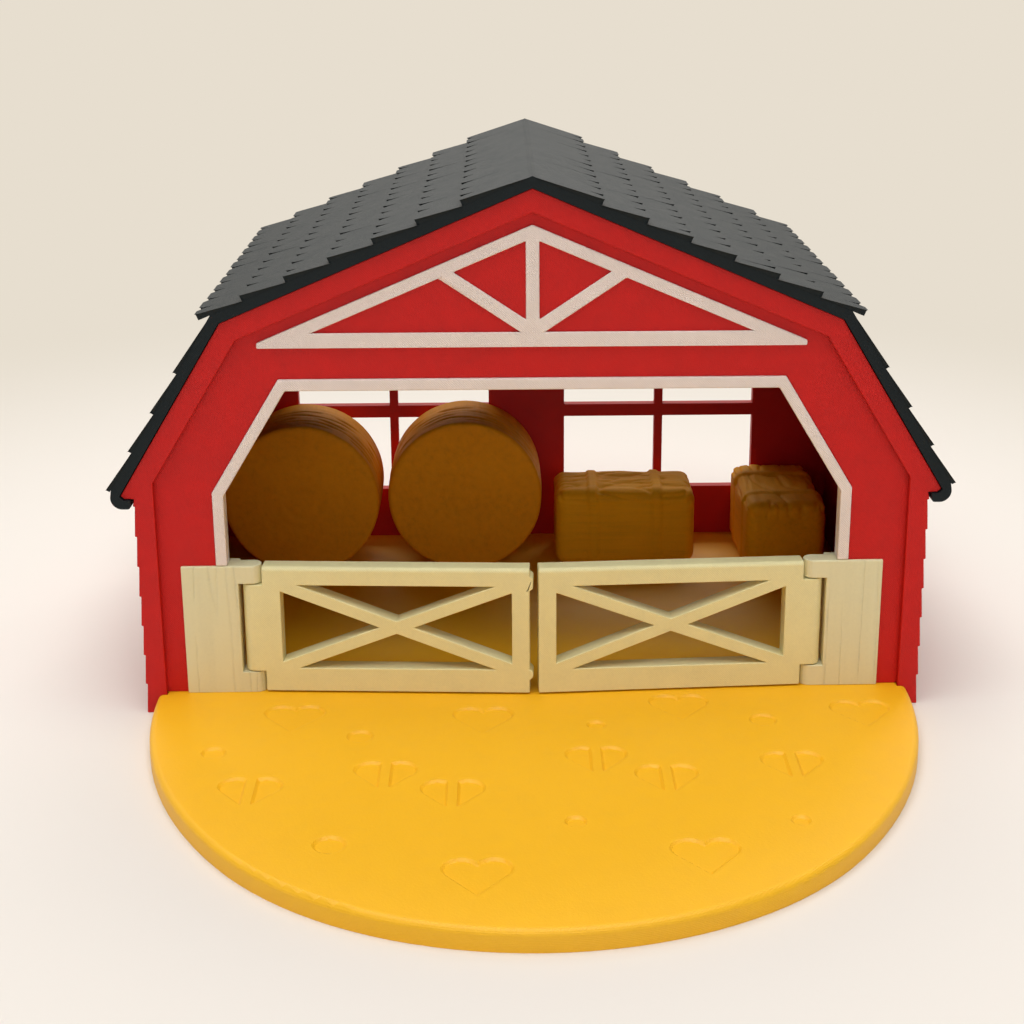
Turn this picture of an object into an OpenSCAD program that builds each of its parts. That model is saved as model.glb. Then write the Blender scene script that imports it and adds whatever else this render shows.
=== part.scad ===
// Toy barn with a gambrel roof, a round yard and two gates on pin hinges.
// The barn's front face is drawn at y = 0 and the yard lies in front of it, at
// negative y. placed() then moves each piece so that the origin lies under the
// middle of the whole toy, on the surface that it stands on.

/* [Barn body] */
// Width across the side walls
body_w = 200; // [192:1:216]
// Depth from the front face to the back face
body_d = 127; // [118:1:140]
// Height of the side walls up to the eaves
eave_z = 58; // [54:0.5:62]
// How far the eave rail stands out from the wall
eave_out = 2.8; // [2.2:0.1:3.6]
// Height of the knee, where the roof changes slope
knee_z = 102.5; // [99:0.5:106]
// How far the knee lies inside the side wall
knee_in = 24; // [21:0.5:27]
// Height of the gable's apex
apex_z = 134.8; // [130:0.2:140]
// Thickness of the side walls
wall_t = 3.6; // [3:0.1:4.5]
// Thickness of the back wall
back_t = 3.6; // [3:0.1:4.5]
// Height of one siding board
board_h = 8; // [6:0.5:11]
// How far a board's lower edge laps over the next one
board_lap = 0.5; // [0.3:0.1:0.9]

/* [Front wall] */
// Depth of the front frame, from front to back
frame_t = 6.5; // [6:0.5:9]
// Width of the raised border round the facade
border_w = 5.3; // [4.5:0.1:6.5]
// How far the panel lies behind the border's face
panel_in = 1.8; // [1.5:0.1:2.4]
// Thickness of the front panel
panel_t = 3.6; // [3:0.1:4]
// Width of the rebate that holds the panel in the frame
rebate_w = 1.5; // [1:0.1:2.5]
// Width of the wall beside the doorway, up to the trim's outer edge
door_side_w = 19.6; // [18:0.2:25]
// How far the doorway's sides lean in towards its top
door_lean = 17.7; // [13:0.1:24]
// Height at which the doorway's sides start to lean in
door_side_z = 59; // [54:1:66]
// Width of the doorway's trim
trim_w = 2.9; // [2.2:0.1:4]
// How far the trim and the truss stand out of the panel
trim_proud = 0.8; // [0.5:0.1:1.4]

/* [Gable truss] */
// Height from the truss's apex up to the gable's apex
truss_drop = 8.9; // [8:0.1:12]
// Height from the truss's base up to the knee
truss_below_knee = 6.6; // [4:0.1:9]
// Distance from the doorway's trim up to the truss
truss_gap = 7.9; // [5:0.1:12]
// How far the truss's ends lie inside the knees
truss_in = 8.5; // [8:0.5:16]
// Width of the two sloping bars
rafter_w = 3; // [2.4:0.1:4]
// Width of the bottom bar
tie_w = 3.7; // [2.6:0.1:4.5]
// Width of the upright and of the two braces
post_w = 3.3; // [2.4:0.1:4]
// Distance from the middle at which a brace meets its sloping bar
brace_x = 24; // [20:0.5:30]

/* [Back windows] */
// Width of one window
window_w = 60.2; // [50:0.2:64]
// Height of one window
window_h = 51.4; // [44:0.2:54]
// Height of the sill above the ground
sill_z = 20.8; // [16:0.2:26]
// Half the width of the pier between the windows
pier_half = 12; // [10:0.5:16]
// Width of the upright muntin
muntin_w = 2.6; // [2:0.1:4]
// Height of the level muntin
muntin_h = 3.9; // [2:0.1:5]

/* [Roof] */
// Thickness of the roof under its shingles
roof_t = 2.8; // [2.4:0.1:3.4]
// How far the roof stands out past the walls, front and back
roof_over = 0.8; // [0.4:0.1:2]
// Clearance between the roof and what it slides on
roof_fit = 0.15; // [0.1:0.05:0.3]
// Distance down the slope from the ridge to the first course's edge
ridge_course_l = 17; // [14:0.5:20]
// Number of courses on the upper slope
upper_courses = 7; // [6:1:8]
// How far the last upper course reaches past the knee
knee_nose = 4; // [3:0.1:4.5]
// Thickness of the upper courses at their lower edge
upper_nose_t = 1.6; // [0.9:0.1:2]
// Distance down the steep slope from the knee to the first course's edge
knee_course_l = 16.4; // [15.5:0.1:17]
// Number of courses on the steep slope
lower_courses = 4; // [3:1:5]
// Thickness of the steep courses at their lower edge
lower_nose_t = 1; // [0.6:0.1:1.6]
// Width of one shingle
shingle_w = 10.7; // [8:0.1:16]
// Width of the joint between two shingles
joint_w = 0.5; // [0.3:0.1:0.8]
// Outer radius of the lip that hooks under the eave
lip_r = 2.9; // [2.5:0.1:3.4]
// Gap between the lip's end and the side wall
lip_gap = 0.3; // [0.2:0.1:0.8]

/* [Yard and floor] */
// Thickness of the base
slab_t = 5; // [4.5:0.1:6.5]
// How far the yard reaches out in front of the barn
yard_l = 115.4; // [108:0.2:118]
// How far the yard's sides lie inside the barn's width
yard_in = 3; // [2:0.1:5]
// Radius of the yard's rounded upper edge
yard_round = 1.6; // [1:0.1:3]
// Gap between the base and the walls round it
slab_fit = 0.2; // [0.1:0.05:0.4]
// Width of a hoof print
print_w = 14.6; // [10:0.2:16]
// Depth of the hoof prints
print_t = 0.6; // [0.3:0.1:1]

/* [Gates and hinges] */
// Height of the hinge plates
plate_h = 34.6; // [30:0.2:38]
// How far a hinge plate reaches over the wall beside the doorway
plate_lap = 8.9; // [6:0.1:10]
// How far a hinge plate reaches into the doorway
plate_in = 5.4; // [5:0.1:8]
// How far the plates and the gates stand out of the panel
plate_proud = 0.9; // [0.6:0.1:1.8]
// How far a plate reaches back past its lugs, beside the wall
plate_back = 1.4; // [0.5:0.1:2]
// Thickness of the gates and the plates
gate_t = 5; // [4.4:0.1:5.6]
// Angle at which the gates stand open
gate_ajar = 3; // [0:0.2:5]
// Gap between the gates and the base
gate_lift = 0.45; // [0.3:0.05:1]
// Gap between the two closed gates
gate_gap = 1.9; // [1.7:0.1:2.5]
// Width of a gate's upright bars
stile_w = 4.5; // [3.5:0.1:6.5]
// Height of a gate's top bar
top_rail_h = 4.9; // [3.5:0.1:6]
// Height of a gate's bottom bar
bottom_rail_h = 6.4; // [4:0.1:8]
// Width of a gate's crossed braces
brace_w = 3.2; // [2.5:0.1:4.5]
// Radius of the gates' rounded upper edge
edge_r = 1.2; // [0.6:0.1:1.6]
// Radius of the plates' rounded upper edge
plate_edge_r = 0.5; // [0.3:0.1:0.6]
// Height of the upper lug
top_lug_h = 4.8; // [4:0.1:6]
// Height of the lower lug
bottom_lug_h = 5.6; // [4.5:0.1:7]
// Gap between a lug and the gate's tongue, up and down
lug_gap = 0.3; // [0.2:0.05:0.5]
// Gap between a turning edge and the fixed edge beside it
swing_gap = 0.8; // [0.6:0.1:1.4]
// Diameter of the hinge pins
pin_d = 2.4; // [2:0.1:2.8]
// Clearance round a pin in the gate's tongue
pin_play = 0.05; // [0.02:0.01:0.08]
// How far the upper closing nub stands out
nub_out = 1.4; // [0.8:0.1:1.4]

/* [Straw bales] */
// Width of a round bale, as a share of the barn's inner width
round_bale_share = 0.2386; // [0.18:0.0002:0.2406]
// Length of the round bales
round_bale_l = 28; // [22:0.5:32]
// Length of a square bale, as a share of the barn's inner width
square_bale_share = 0.222; // [0.18:0.001:0.23]
// Width of a square bale, as a share of its length
square_bale_slim = 0.56; // [0.4:0.01:0.6]
// Height of the square bales
square_bale_h = 24; // [16:0.5:28]
// Space beside the round bales
bale_gap = 4.7; // [4:0.1:5.5]
// Space between the two round bales
round_gap = 3.4; // [1.5:0.1:4]
// Space between the right square bale and the side wall
square_gap = 7; // [3:0.1:8]

/* [Hidden] */
$fn = 96;
half_w = body_w / 2;
knee_x = half_w - knee_in;
inner_half = half_w - wall_t;
panel_y = panel_in;
back_y = body_d - back_t;
slope_fit = 0.1;
trim_fit = 0.1;
middle_y = (body_d + roof_over - yard_l) / 2;

// The gambrel outline's corners on the right, from the apex down to the wall
rail_bevel = 0.9;
apex = [0, apex_z];
knee = [knee_x, knee_z];
eave = [half_w + eave_out, eave_z + rail_bevel];
rail = [half_w + eave_out - rail_bevel, eave_z];
rail_root = [half_w, eave_z];

function unit(v) = v / norm(v);
function left_of(v) = [-v[1], v[0]];
// Corner b of the path a, b, c, moved to the path's left by d
function mitre(a, b, c, d) =
    let (m = left_of(unit(b - a)), n = left_of(unit(c - b)))
    b + d * (m + n) / (1 + m * n);
// The point at distance s from p towards q, and t to the left of that line
function along(p, q, s, t) = p + s * unit(q - p) + t * left_of(unit(q - p));
function arc(c, r, from, to, steps) =
    [for (i = [0 : steps]) let (a = from + (to - from) * i / steps) c + r * [cos(a), sin(a)]];
function mirrored(points) = [for (i = [len(points) - 1 : -1 : 0]) [-points[i][0], points[i][1]]];
// A straight bar of width w from p to q
function bar(p, q, w) =
    let (side = left_of(unit(q - p)) * w / 2) [p + side, p - side, q - side, q + side];
// Height of the line through p and q at x
function height_at(p, q, x) = p[1] + (q[1] - p[1]) * (x - p[0]) / (q[0] - p[0]);

// Colours
barn_red = [0.72, 0.14, 0.13];
slate = [0.30, 0.32, 0.32];
cream = [0.90, 0.86, 0.74];
straw_yellow = [1.0, 0.74, 0.16];
straw = [0.80, 0.52, 0.14];
steel = [0.7, 0.7, 0.72];

module placed() translate([0, -middle_y, 0]) children();

// A profile drawn in x and z, extruded from y0 to y1
module along_y(y0, y1) translate([0, y1, 0]) rotate([90, 0, 0]) linear_extrude(y1 - y0) children();

// The same shape on the left and on the right
module both_sides() {
    children();
    mirror([1, 0]) children();
}

// What is cut away to round an edge along x, at y and z, facing the front
module front_edge_cut(x0, x1, y, z, r) {
    translate([x0, y, z])
        rotate([90, 0, 90])
            linear_extrude(x1 - x0)
                difference() {
                    translate([-1, -r]) square([r + 1, r + 1]);
                    translate([r, -r]) circle(r);
                }
}

// The side wall's outer face from the ground up, one step for each board
siding = [for (z = [0 : board_h : eave_z - 1])
    each [[half_w, z], [half_w - board_lap, min(z + board_h, eave_z)]]];
barn_side = concat(siding, [rail, eave, knee]);
barn_outline = concat(barn_side, [apex], mirrored(barn_side));

// The same outline without the boards, moved inwards by d
wall_head = [half_w, height_at(eave, knee, half_w)];
function inner_side(d, z) = [
    [half_w - d, z],
    mitre([half_w, 0], wall_head, knee, d),
    mitre(wall_head, knee, apex, d),
    mitre(knee, apex, [-knee_x, knee_z], d)];
function inner_outline(d, z) = let (side = inner_side(d, z))
    concat(side, mirrored([side[0], side[1], side[2]]));

// The doorway, over its trim
door_top_z = knee_z - truss_below_knee - truss_gap;
door_half = half_w - door_side_w;
door_top_half = door_half - door_lean;
function door_side(d, z) = [
    [door_half - d, z],
    mitre([door_half, 0], [door_half, door_side_z], [door_top_half, door_top_z], d),
    mitre([door_half, door_side_z], [door_top_half, door_top_z], [0, door_top_z], d)];
function door_outline(d, z) = concat(door_side(d, z), mirrored(door_side(d, z)));

module front_frame() {
    color(barn_red) placed() difference() {
        along_y(0, frame_t) polygon(barn_outline);
        along_y(-1, panel_y) polygon(inner_outline(border_w, -1));
        along_y(panel_y - 0.5, frame_t + 1) polygon(inner_outline(border_w - rebate_w, -1));
    }
}

module front_panel() {
    color(barn_red) placed() difference() {
        along_y(panel_y, panel_y + panel_t)
            polygon(inner_outline(border_w - rebate_w + slope_fit, slab_t));
        along_y(0, frame_t) polygon(door_outline(0, 0));
    }
}

module door_trim() {
    color(cream) placed() difference() {
        along_y(panel_y - trim_proud, panel_y + panel_t) polygon(door_outline(0, plate_top + trim_fit));
        along_y(-1, frame_t + 1) polygon(door_outline(trim_w, 0));
    }
}

truss_half_l = knee_x - truss_in;
truss_apex = [0, apex_z - truss_drop];
truss_base_z = knee_z - truss_below_knee;
rafter_rise = (apex_z - knee_z) / knee_x;
truss_end = [(truss_apex[1] - truss_base_z) / rafter_rise, truss_base_z];
truss_side = truss_end - [rafter_w / sin(atan(rafter_rise)) + tie_w / rafter_rise, -tie_w];

module gable_truss() {
    color(cream) placed() along_y(panel_y - trim_proud, panel_y) intersection() {
        polygon([truss_end, truss_apex, [-truss_end[0], truss_base_z]]);
        translate([-truss_half_l, truss_base_z])
            square([2 * truss_half_l, truss_apex[1] - truss_base_z]);
        union() {
            difference() {
                translate([-truss_half_l, truss_base_z])
                    square([2 * truss_half_l, truss_apex[1] - truss_base_z]);
                polygon([truss_side,
                    [0, truss_apex[1] - rafter_w / cos(atan(rafter_rise))],
                    [-truss_side[0], truss_side[1]]]);
            }
            translate([-post_w / 2, truss_base_z]) square([post_w, truss_apex[1] - truss_base_z]);
            for (side = [-1, 1])
                polygon(bar([0, truss_base_z + tie_w],
                    [side * brace_x, truss_apex[1] - brace_x * rafter_rise], post_w));
        }
    }
}

module back_wall() {
    color(barn_red) placed() union() {
        difference() {
            along_y(back_y, body_d) polygon(barn_outline);
            along_y(back_y - 1, body_d + 1)
                both_sides() translate([pier_half, sill_z]) square([window_w, window_h]);
        }
        along_y(back_y, body_d) both_sides() {
            translate([pier_half + (window_w - muntin_w) / 2, sill_z - 0.5])
                square([muntin_w, window_h + 1]);
            translate([pier_half - 0.5, sill_z + (window_h - muntin_h) / 2])
                square([window_w + 1, muntin_h]);
        }
    }
}

// A side wall seen from the front, with its top cut to the steep slope
module side_wall() {
    along_y(frame_t, back_y)
        polygon(concat([[inner_half, 0]], siding,
            [rail, eave, [inner_half, height_at(eave, knee, inner_half)]]));
}

module side_wall_right() {
    color(barn_red) placed() side_wall();
}

module side_wall_left() {
    color(barn_red) placed() mirror([1, 0, 0]) side_wall();
}

// The edge of course i, measured down its slope
eave_nose = 0.3;
course_start = 2;
upper_course_l = (norm(knee - apex) + knee_nose - ridge_course_l) / (upper_courses - 1);
lower_course_l = (norm(eave - knee) + eave_nose - knee_course_l) / (lower_courses - 1);
function upper_edge(i) = i < 0 ? course_start : ridge_course_l + i * upper_course_l;
function lower_edge(i) = i < 0 ? course_start : knee_course_l + i * lower_course_l;
nose_cut = 0.7;
// The corners of a course's blunt lower edge, at s on the slope from p to q
function nose(p, q, s, t) = [
    along(p, q, s - nose_cut, roof_t + t),
    along(p, q, s - nose_cut / 4, roof_t + t - nose_cut / 4),
    along(p, q, s, roof_t + t - nose_cut),
    along(p, q, s, roof_t)];

lip_middle = eave - [0.5, 0.4];
lip_end_r = 0.8;
upper_slope = [for (i = [0 : upper_courses - 1]) each nose(apex, knee, upper_edge(i), upper_nose_t)];
lower_slope = [for (i = [0 : lower_courses - 1]) each nose(knee, eave, lower_edge(i), lower_nose_t)];
roof_half = concat(
    [[0, apex_z + roof_t / cos(atan(rafter_rise))]],
    upper_slope,
    [mitre(apex, knee, eave, roof_t)],
    lower_slope,
    arc(lip_middle, lip_r, 10, -90, 6),
    arc([half_w + lip_gap + lip_end_r, lip_middle[1] - lip_r + lip_end_r], lip_end_r, 270, 180, 3),
    [[half_w + lip_gap, eave_z - roof_fit],
        mitre(eave, rail, rail_root, roof_fit),
        mitre(knee, eave, rail, roof_fit),
        mitre(apex, knee, eave, roof_fit),
        [0, apex_z + roof_fit / cos(atan(rafter_rise))]]);
roof_outline = concat(roof_half,
    [for (i = [len(roof_half) - 2 : -1 : 1]) [-roof_half[i][0], roof_half[i][1]]]);

// The space over one course, down to where its shingles part
joint_lift = 0.15;
joint_start = 0.05;
joint_end = 0.02;
joint_space = 4;
function course_space(p, q, s0, s1) = [
    along(p, q, s0 + joint_start, roof_t + joint_lift),
    along(p, q, s0 + joint_start, roof_t + joint_space),
    along(p, q, s1 + joint_end, roof_t + joint_space),
    along(p, q, s1 + joint_end, roof_t + joint_lift)];
module shingle_joints(first) {
    both_sides() {
        for (i = [first : 2 : upper_courses - 1])
            polygon(course_space(apex, knee, upper_edge(i - 1), upper_edge(i)));
        for (i = [1 - first : 2 : lower_courses - 1])
            polygon(course_space(knee, eave, lower_edge(i - 1), lower_edge(i)));
    }
}

module roof() {
    color(slate) placed() difference() {
        along_y(-roof_over, body_d + roof_over) polygon(roof_outline);
        for (row = [0, 1], y = [(1 + row) * shingle_w / 2 : shingle_w : body_d - 1])
            along_y(y - joint_w / 2, y + joint_w / 2) shingle_joints(row);
    }
}

// Hoof prints, as places in the yard
heart_places = [[-60, -15], [-14, -18], [35, -14], [80, -20], [-14, -94], [35, -89]];
split_places = [[-65, -53], [-35, -47], [-20, -57], [13, -42], [29, -52], [59, -47]];
pad_places = [[-76, -36], [-43, -31], [14, -25], [55, -24], [-45, -84], [8, -75], [57, -77]];

// A hoof print with two lobes towards the barn
lobe_r = print_w * 0.27;
lobe_x = print_w / 2 - lobe_r;
lobe_side = 35;
heart_l = print_w * 0.72;
split_w = print_w * 0.16;
pad_r = print_w * 0.2;
lobe = arc([lobe_x, 0], lobe_r, acos(-lobe_x / lobe_r) - 12, -lobe_side, 8);
module heart() {
    polygon(concat([[0, lobe_r / 2]], lobe, [[0, -heart_l]], mirrored(lobe)));
}

module split_heart() {
    difference() {
        heart();
        translate([-split_w / 2, -print_w]) square([split_w, 2 * print_w]);
    }
}

// The yard's outline is an arc in front that goes on into an arc along each side. The line
// from a side arc's middle through the front arc's middle rises 3 for every 4 across.
yard_half = half_w - yard_in;
yard_step = (yard_l - yard_half) / 2;
yard_side_r = yard_half + 4 * yard_step;
yard_front_r = yard_half - yard_step;
arc_end = [4, -3] * 40;

// The part of a slab with a rounded rim that lies between two directions
module slice(r, from, to) {
    intersection() {
        rotate_extrude($fn = 180) {
            square([r - yard_round, slab_t]);
            square([r, slab_t - yard_round]);
            translate([r - yard_round, slab_t - yard_round])
                intersection() {
                    circle(yard_round, $fn = 64);
                    square(yard_round);
                }
        }
        translate([0, 0, -1]) linear_extrude(slab_t + 2) polygon([[0, 0], from, to]);
    }
}

module side_slice() {
    translate([-4 * yard_step, 0, 0]) slice(yard_side_r, arc_end, [norm(arc_end), 0]);
}

module yard() {
    difference() {
        union() {
            translate([0, -3 * yard_step, 0]) slice(yard_front_r, arc_end, [-arc_end[0], arc_end[1]]);
            side_slice();
            mirror([1, 0, 0]) side_slice();
        }
        translate([-half_w, -slab_fit, -1]) cube([body_w, body_d, slab_t + 2]);
    }
}

module base() {
    neck_half = half_w - border_w - slab_fit;
    floor_half = inner_half - slab_fit;
    color(straw_yellow) placed() difference() {
        union() {
            yard();
            translate([-neck_half, -1, 0]) cube([2 * neck_half, frame_t + 2, slab_t]);
            translate([-floor_half, frame_t + slab_fit, 0])
                cube([2 * floor_half, back_y - frame_t - 2 * slab_fit, slab_t]);
        }
        translate([0, 0, slab_t - print_t]) linear_extrude(1) {
            for (p = heart_places) translate(p) heart();
            for (p = split_places) translate(p) split_heart();
            for (p = pad_places) translate(p) circle(pad_r);
        }
    }
}

// The hinge: the pin's axis, and the heights of lugs and tongue
plate_outer = door_half + plate_lap;
plate_inner = door_half - plate_in;
hinge_y = panel_y - plate_proud;
knuckle_r = gate_t / 2;
pin_x = plate_inner - swing_gap - knuckle_r;
pin_y = hinge_y + gate_t / 2;
plate_top = slab_t + plate_h;
bottom_lug_z = slab_t + bottom_lug_h;
top_lug_z = plate_top - top_lug_h;
pin_floor = 0.4;
pin_z = slab_t + pin_floor;
pin_cover = 1.5;
pin_top = plate_top - pin_cover;

// A lug from z0 to z1, with its round end on the pin's axis
module lug(z0, z1) {
    translate([0, 0, z0]) linear_extrude(z1 - z0) {
        translate([pin_x, pin_y]) circle(knuckle_r);
        translate([pin_x, hinge_y]) square([plate_inner - pin_x + 0.5, gate_t]);
    }
}

// A plate that stands in the doorway's side, with a flat part over the wall beside it
module hinge_plate() {
    difference() {
        union() {
            translate([plate_inner, hinge_y, slab_t])
                cube([door_half - plate_inner, gate_t + plate_back, plate_h]);
            translate([door_half - 0.5, hinge_y, slab_t])
                cube([plate_lap + 0.5, plate_proud, plate_h]);
            lug(slab_t, bottom_lug_z);
            lug(top_lug_z, plate_top);
        }
        front_edge_cut(pin_x - gate_t, plate_outer + 1, hinge_y, plate_top, plate_edge_r);
        translate([pin_x, pin_y, pin_z - 1]) cylinder(d = pin_d, h = pin_top - pin_z + 1);
    }
}

module hinge_plate_right() {
    color(cream) placed() hinge_plate();
}

module hinge_plate_left() {
    color(cream) placed() mirror([1, 0, 0]) hinge_plate();
}

module hinge_pin() {
    translate([pin_x, pin_y, pin_z]) cylinder(d = pin_d, h = pin_top - pin_z);
}

module hinge_pin_right() {
    color(steel) placed() hinge_pin();
}

module hinge_pin_left() {
    color(steel) placed() mirror([1, 0, 0]) hinge_pin();
}

// A gate's outline: its edge beside the lugs, and its bottom and top
gate_side = pin_x - knuckle_r - lug_gap;
gate_edge = gate_gap / 2;
gate_z = slab_t + gate_lift;
gate_drop = 0.2;
gate_top = plate_top - gate_drop;
opening = [[gate_edge + stile_w, gate_z + bottom_rail_h], [gate_side - stile_w, gate_top - top_rail_h]];

// The right gate's turn about its pin
module ajar() {
    translate([pin_x, pin_y, 0]) rotate([0, 0, gate_ajar]) translate([-pin_x, -pin_y, 0]) children();
}

module gate() {
    tongue_z = bottom_lug_z + lug_gap;
    tongue_h = top_lug_z - lug_gap - tongue_z;
    difference() {
        union() {
            along_y(hinge_y, hinge_y + gate_t) difference() {
                translate([gate_edge, gate_z]) square([gate_side - gate_edge, gate_top - gate_z]);
                difference() {
                    translate(opening[0]) square(opening[1] - opening[0]);
                    polygon(bar(opening[0], opening[1], brace_w));
                    polygon(bar([opening[0][0], opening[1][1]], [opening[1][0], opening[0][1]],
                        brace_w));
                }
            }
            translate([0, 0, tongue_z]) linear_extrude(tongue_h) {
                translate([pin_x, pin_y]) circle(knuckle_r);
                translate([gate_side - 1, hinge_y]) square([pin_x - gate_side + 1, gate_t]);
            }
        }
        front_edge_cut(gate_edge - 1, gate_side + 1, hinge_y, gate_top, edge_r);
        translate([pin_x, pin_y, tongue_z - 1])
            cylinder(r = pin_d / 2 + pin_play, h = tongue_h + 2);
    }
}

module gate_right() {
    color(cream) placed() ajar() gate();
}

// The left gate's closing edge has a nub near its top and a smaller one near its bottom
nub_r = 2;
nub_drop = 4;
small_nub_r = 1.6;
small_nub_out = 0.9;
small_nub_up = 5;
module gate_left() {
    color(cream) placed() mirror([1, 0, 0]) ajar() union() {
        gate();
        along_y(hinge_y, hinge_y + gate_t) intersection() {
            translate([gate_edge + 1 - gate_gap, gate_z]) square([gate_gap, gate_top - gate_z]);
            union() {
                translate([gate_edge + nub_r - nub_out, gate_top - nub_drop]) circle(nub_r);
                translate([gate_edge + small_nub_r - small_nub_out, gate_z + small_nub_up])
                    circle(small_nub_r);
            }
        }
    }
}

round_bale_r = round_bale_share * inner_half;
square_bale_l = square_bale_share * 2 * inner_half;
square_bale_w = square_bale_slim * square_bale_l;

// A round bale standing on its flat, its axis along y, centred at x and starting at y
wraps = 5;
wrap_bulge = 0.7;
bale_flat = 0.8;
spiral_step = 5.6;
spiral_w = 0.8;
spiral_t = 0.6;
function rim(i) = let (w = round_bale_l / wraps)
    [for (k = [0 : 4]) [round_bale_r - wrap_bulge * pow(k / 2 - 1, 2), (i + k / 4) * w]];

// Half circles of growing radius about two centres, as one spiral line
module spiral_line() {
    for (i = [0 : 6]) {
        r = (i + 0.5) * spiral_step / 2;
        translate([i % 2 == 0 ? 0 : spiral_step / 2, 0]) intersection() {
            difference() {
                circle(r + spiral_w / 2);
                circle(r - spiral_w / 2);
            }
            translate([-round_bale_r, i % 2 == 0 ? 0 : -2 * round_bale_r])
                square(2 * round_bale_r);
        }
    }
}

module round_bale(x, y) {
    color(straw) placed() translate([x, y, slab_t + round_bale_r - bale_flat])
        difference() {
            rotate([-90, 0, 0])
                rotate_extrude($fn = 120)
                    polygon(concat([[0, 0]], [for (i = [0 : wraps - 1]) each rim(i)],
                        [[0, round_bale_l]]));
            along_y(-1, spiral_t) spiral_line();
            along_y(round_bale_l - spiral_t, round_bale_l + 1) spiral_line();
            translate([-round_bale_r, -1, -round_bale_r - 2 + bale_flat])
                cube([2 * round_bale_r, round_bale_l + 2, 2]);
        }
}

// Each bale's distance from the back wall
round_left_back = 6;
round_right_back = 3;
square_left_back = 7;
square_right_back = 1.5;
round_bale_left_x = -inner_half + bale_gap + round_bale_r;
round_bale_right_x = round_bale_left_x + 2 * round_bale_r + round_gap;
module round_bale_left() {
    round_bale(round_bale_left_x, back_y - round_left_back - round_bale_l);
}

module round_bale_right() {
    round_bale(round_bale_right_x, back_y - round_right_back - round_bale_l);
}

// A square bale lying along x from the origin, with two straps
bale_round = 4;
strap_w = 3.4;
strap_t = 0.5;
strap_places = [0.27, 0.73];
module bale_section(grow) {
    w = square_bale_w + 2 * grow;
    h = square_bale_h + 2 * grow;
    r = bale_round + grow;
    translate([-grow, -grow]) {
        translate([r, 0]) square([w - 2 * r, h]);
        translate([0, r]) square([w, h - 2 * r]);
        for (y = [r, w - r], z = [r, h - r]) translate([y, z]) circle(r, $fn = 48);
    }
}

module along_x(x0, x1) translate([x0, 0, 0]) rotate([90, 0, 90]) linear_extrude(x1 - x0) children();

module square_bale() {
    intersection() {
        union() {
            along_x(0, square_bale_l) bale_section(0);
            for (place = strap_places)
                along_x(place * square_bale_l - strap_w / 2, place * square_bale_l + strap_w / 2)
                    bale_section(strap_t);
        }
        translate([-1, -strap_t - 1, 0])
            cube([square_bale_l + 2, square_bale_w + 2 * strap_t + 2, square_bale_h + 2]);
    }
}

square_bale_left_x = round_bale_right_x + round_bale_r + bale_gap;
module square_bale_left() {
    color(straw) placed()
        translate([square_bale_left_x, back_y - square_left_back - square_bale_w, slab_t]) square_bale();
}

module square_bale_right() {
    color(straw) placed()
        translate([inner_half - square_gap, back_y - square_right_back - square_bale_l, slab_t])
            rotate([0, 0, 90]) square_bale();
}

base();
front_frame();
front_panel();
back_wall();
side_wall_left();
side_wall_right();
roof();
gable_truss();
door_trim();
hinge_plate_left();
hinge_plate_right();
hinge_pin_left();
hinge_pin_right();
gate_left();
gate_right();
round_bale_left();
round_bale_right();
square_bale_left();
square_bale_right();
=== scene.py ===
"""Toy barn with opening gates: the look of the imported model.

Objects are in metres, in the model's own frame: +Z up, the yard and the gates at -Y. Most shapes are
worked out in millimetres and turned into metres by MM.
"""
import math

import bpy
import bmesh
from mathutils import Matrix, Vector, noise
from mathutils.geometry import delaunay_2d_cdt


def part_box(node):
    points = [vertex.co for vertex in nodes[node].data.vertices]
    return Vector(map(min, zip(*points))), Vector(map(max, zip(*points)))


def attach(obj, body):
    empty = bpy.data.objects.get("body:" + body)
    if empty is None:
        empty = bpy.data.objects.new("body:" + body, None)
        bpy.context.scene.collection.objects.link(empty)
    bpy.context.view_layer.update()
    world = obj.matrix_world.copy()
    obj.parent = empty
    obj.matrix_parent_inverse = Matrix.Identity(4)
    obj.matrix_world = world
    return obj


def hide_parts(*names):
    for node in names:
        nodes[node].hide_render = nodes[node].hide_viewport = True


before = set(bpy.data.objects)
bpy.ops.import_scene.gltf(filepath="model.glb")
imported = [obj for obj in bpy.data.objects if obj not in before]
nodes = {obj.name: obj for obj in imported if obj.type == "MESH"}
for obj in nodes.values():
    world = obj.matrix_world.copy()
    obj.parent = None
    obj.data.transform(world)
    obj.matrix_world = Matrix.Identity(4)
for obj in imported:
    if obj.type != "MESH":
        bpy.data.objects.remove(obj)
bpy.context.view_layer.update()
MM = 0.001
SAME_POINT = 0.002 * MM
FRONT_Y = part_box("front_frame")[0].y


def show(name, data):
    """A new object in the scene."""
    thing = bpy.data.objects.new(name, data)
    bpy.context.scene.collection.objects.link(thing)
    return thing


# Camera: its place from the middle of the barn's front, its angles in radians, its lens in pixels

CAMERA_SPOT = Vector((-7.43, -424.60, 195.69))
YAW, PITCH, ROLL = 0.0284, 0.3003, -0.0005
FRAME_PX, FOCAL_PX, SHIFT_PX = 1024.0, 1781.86, -40
SENSOR_MM = 36.0


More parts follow.
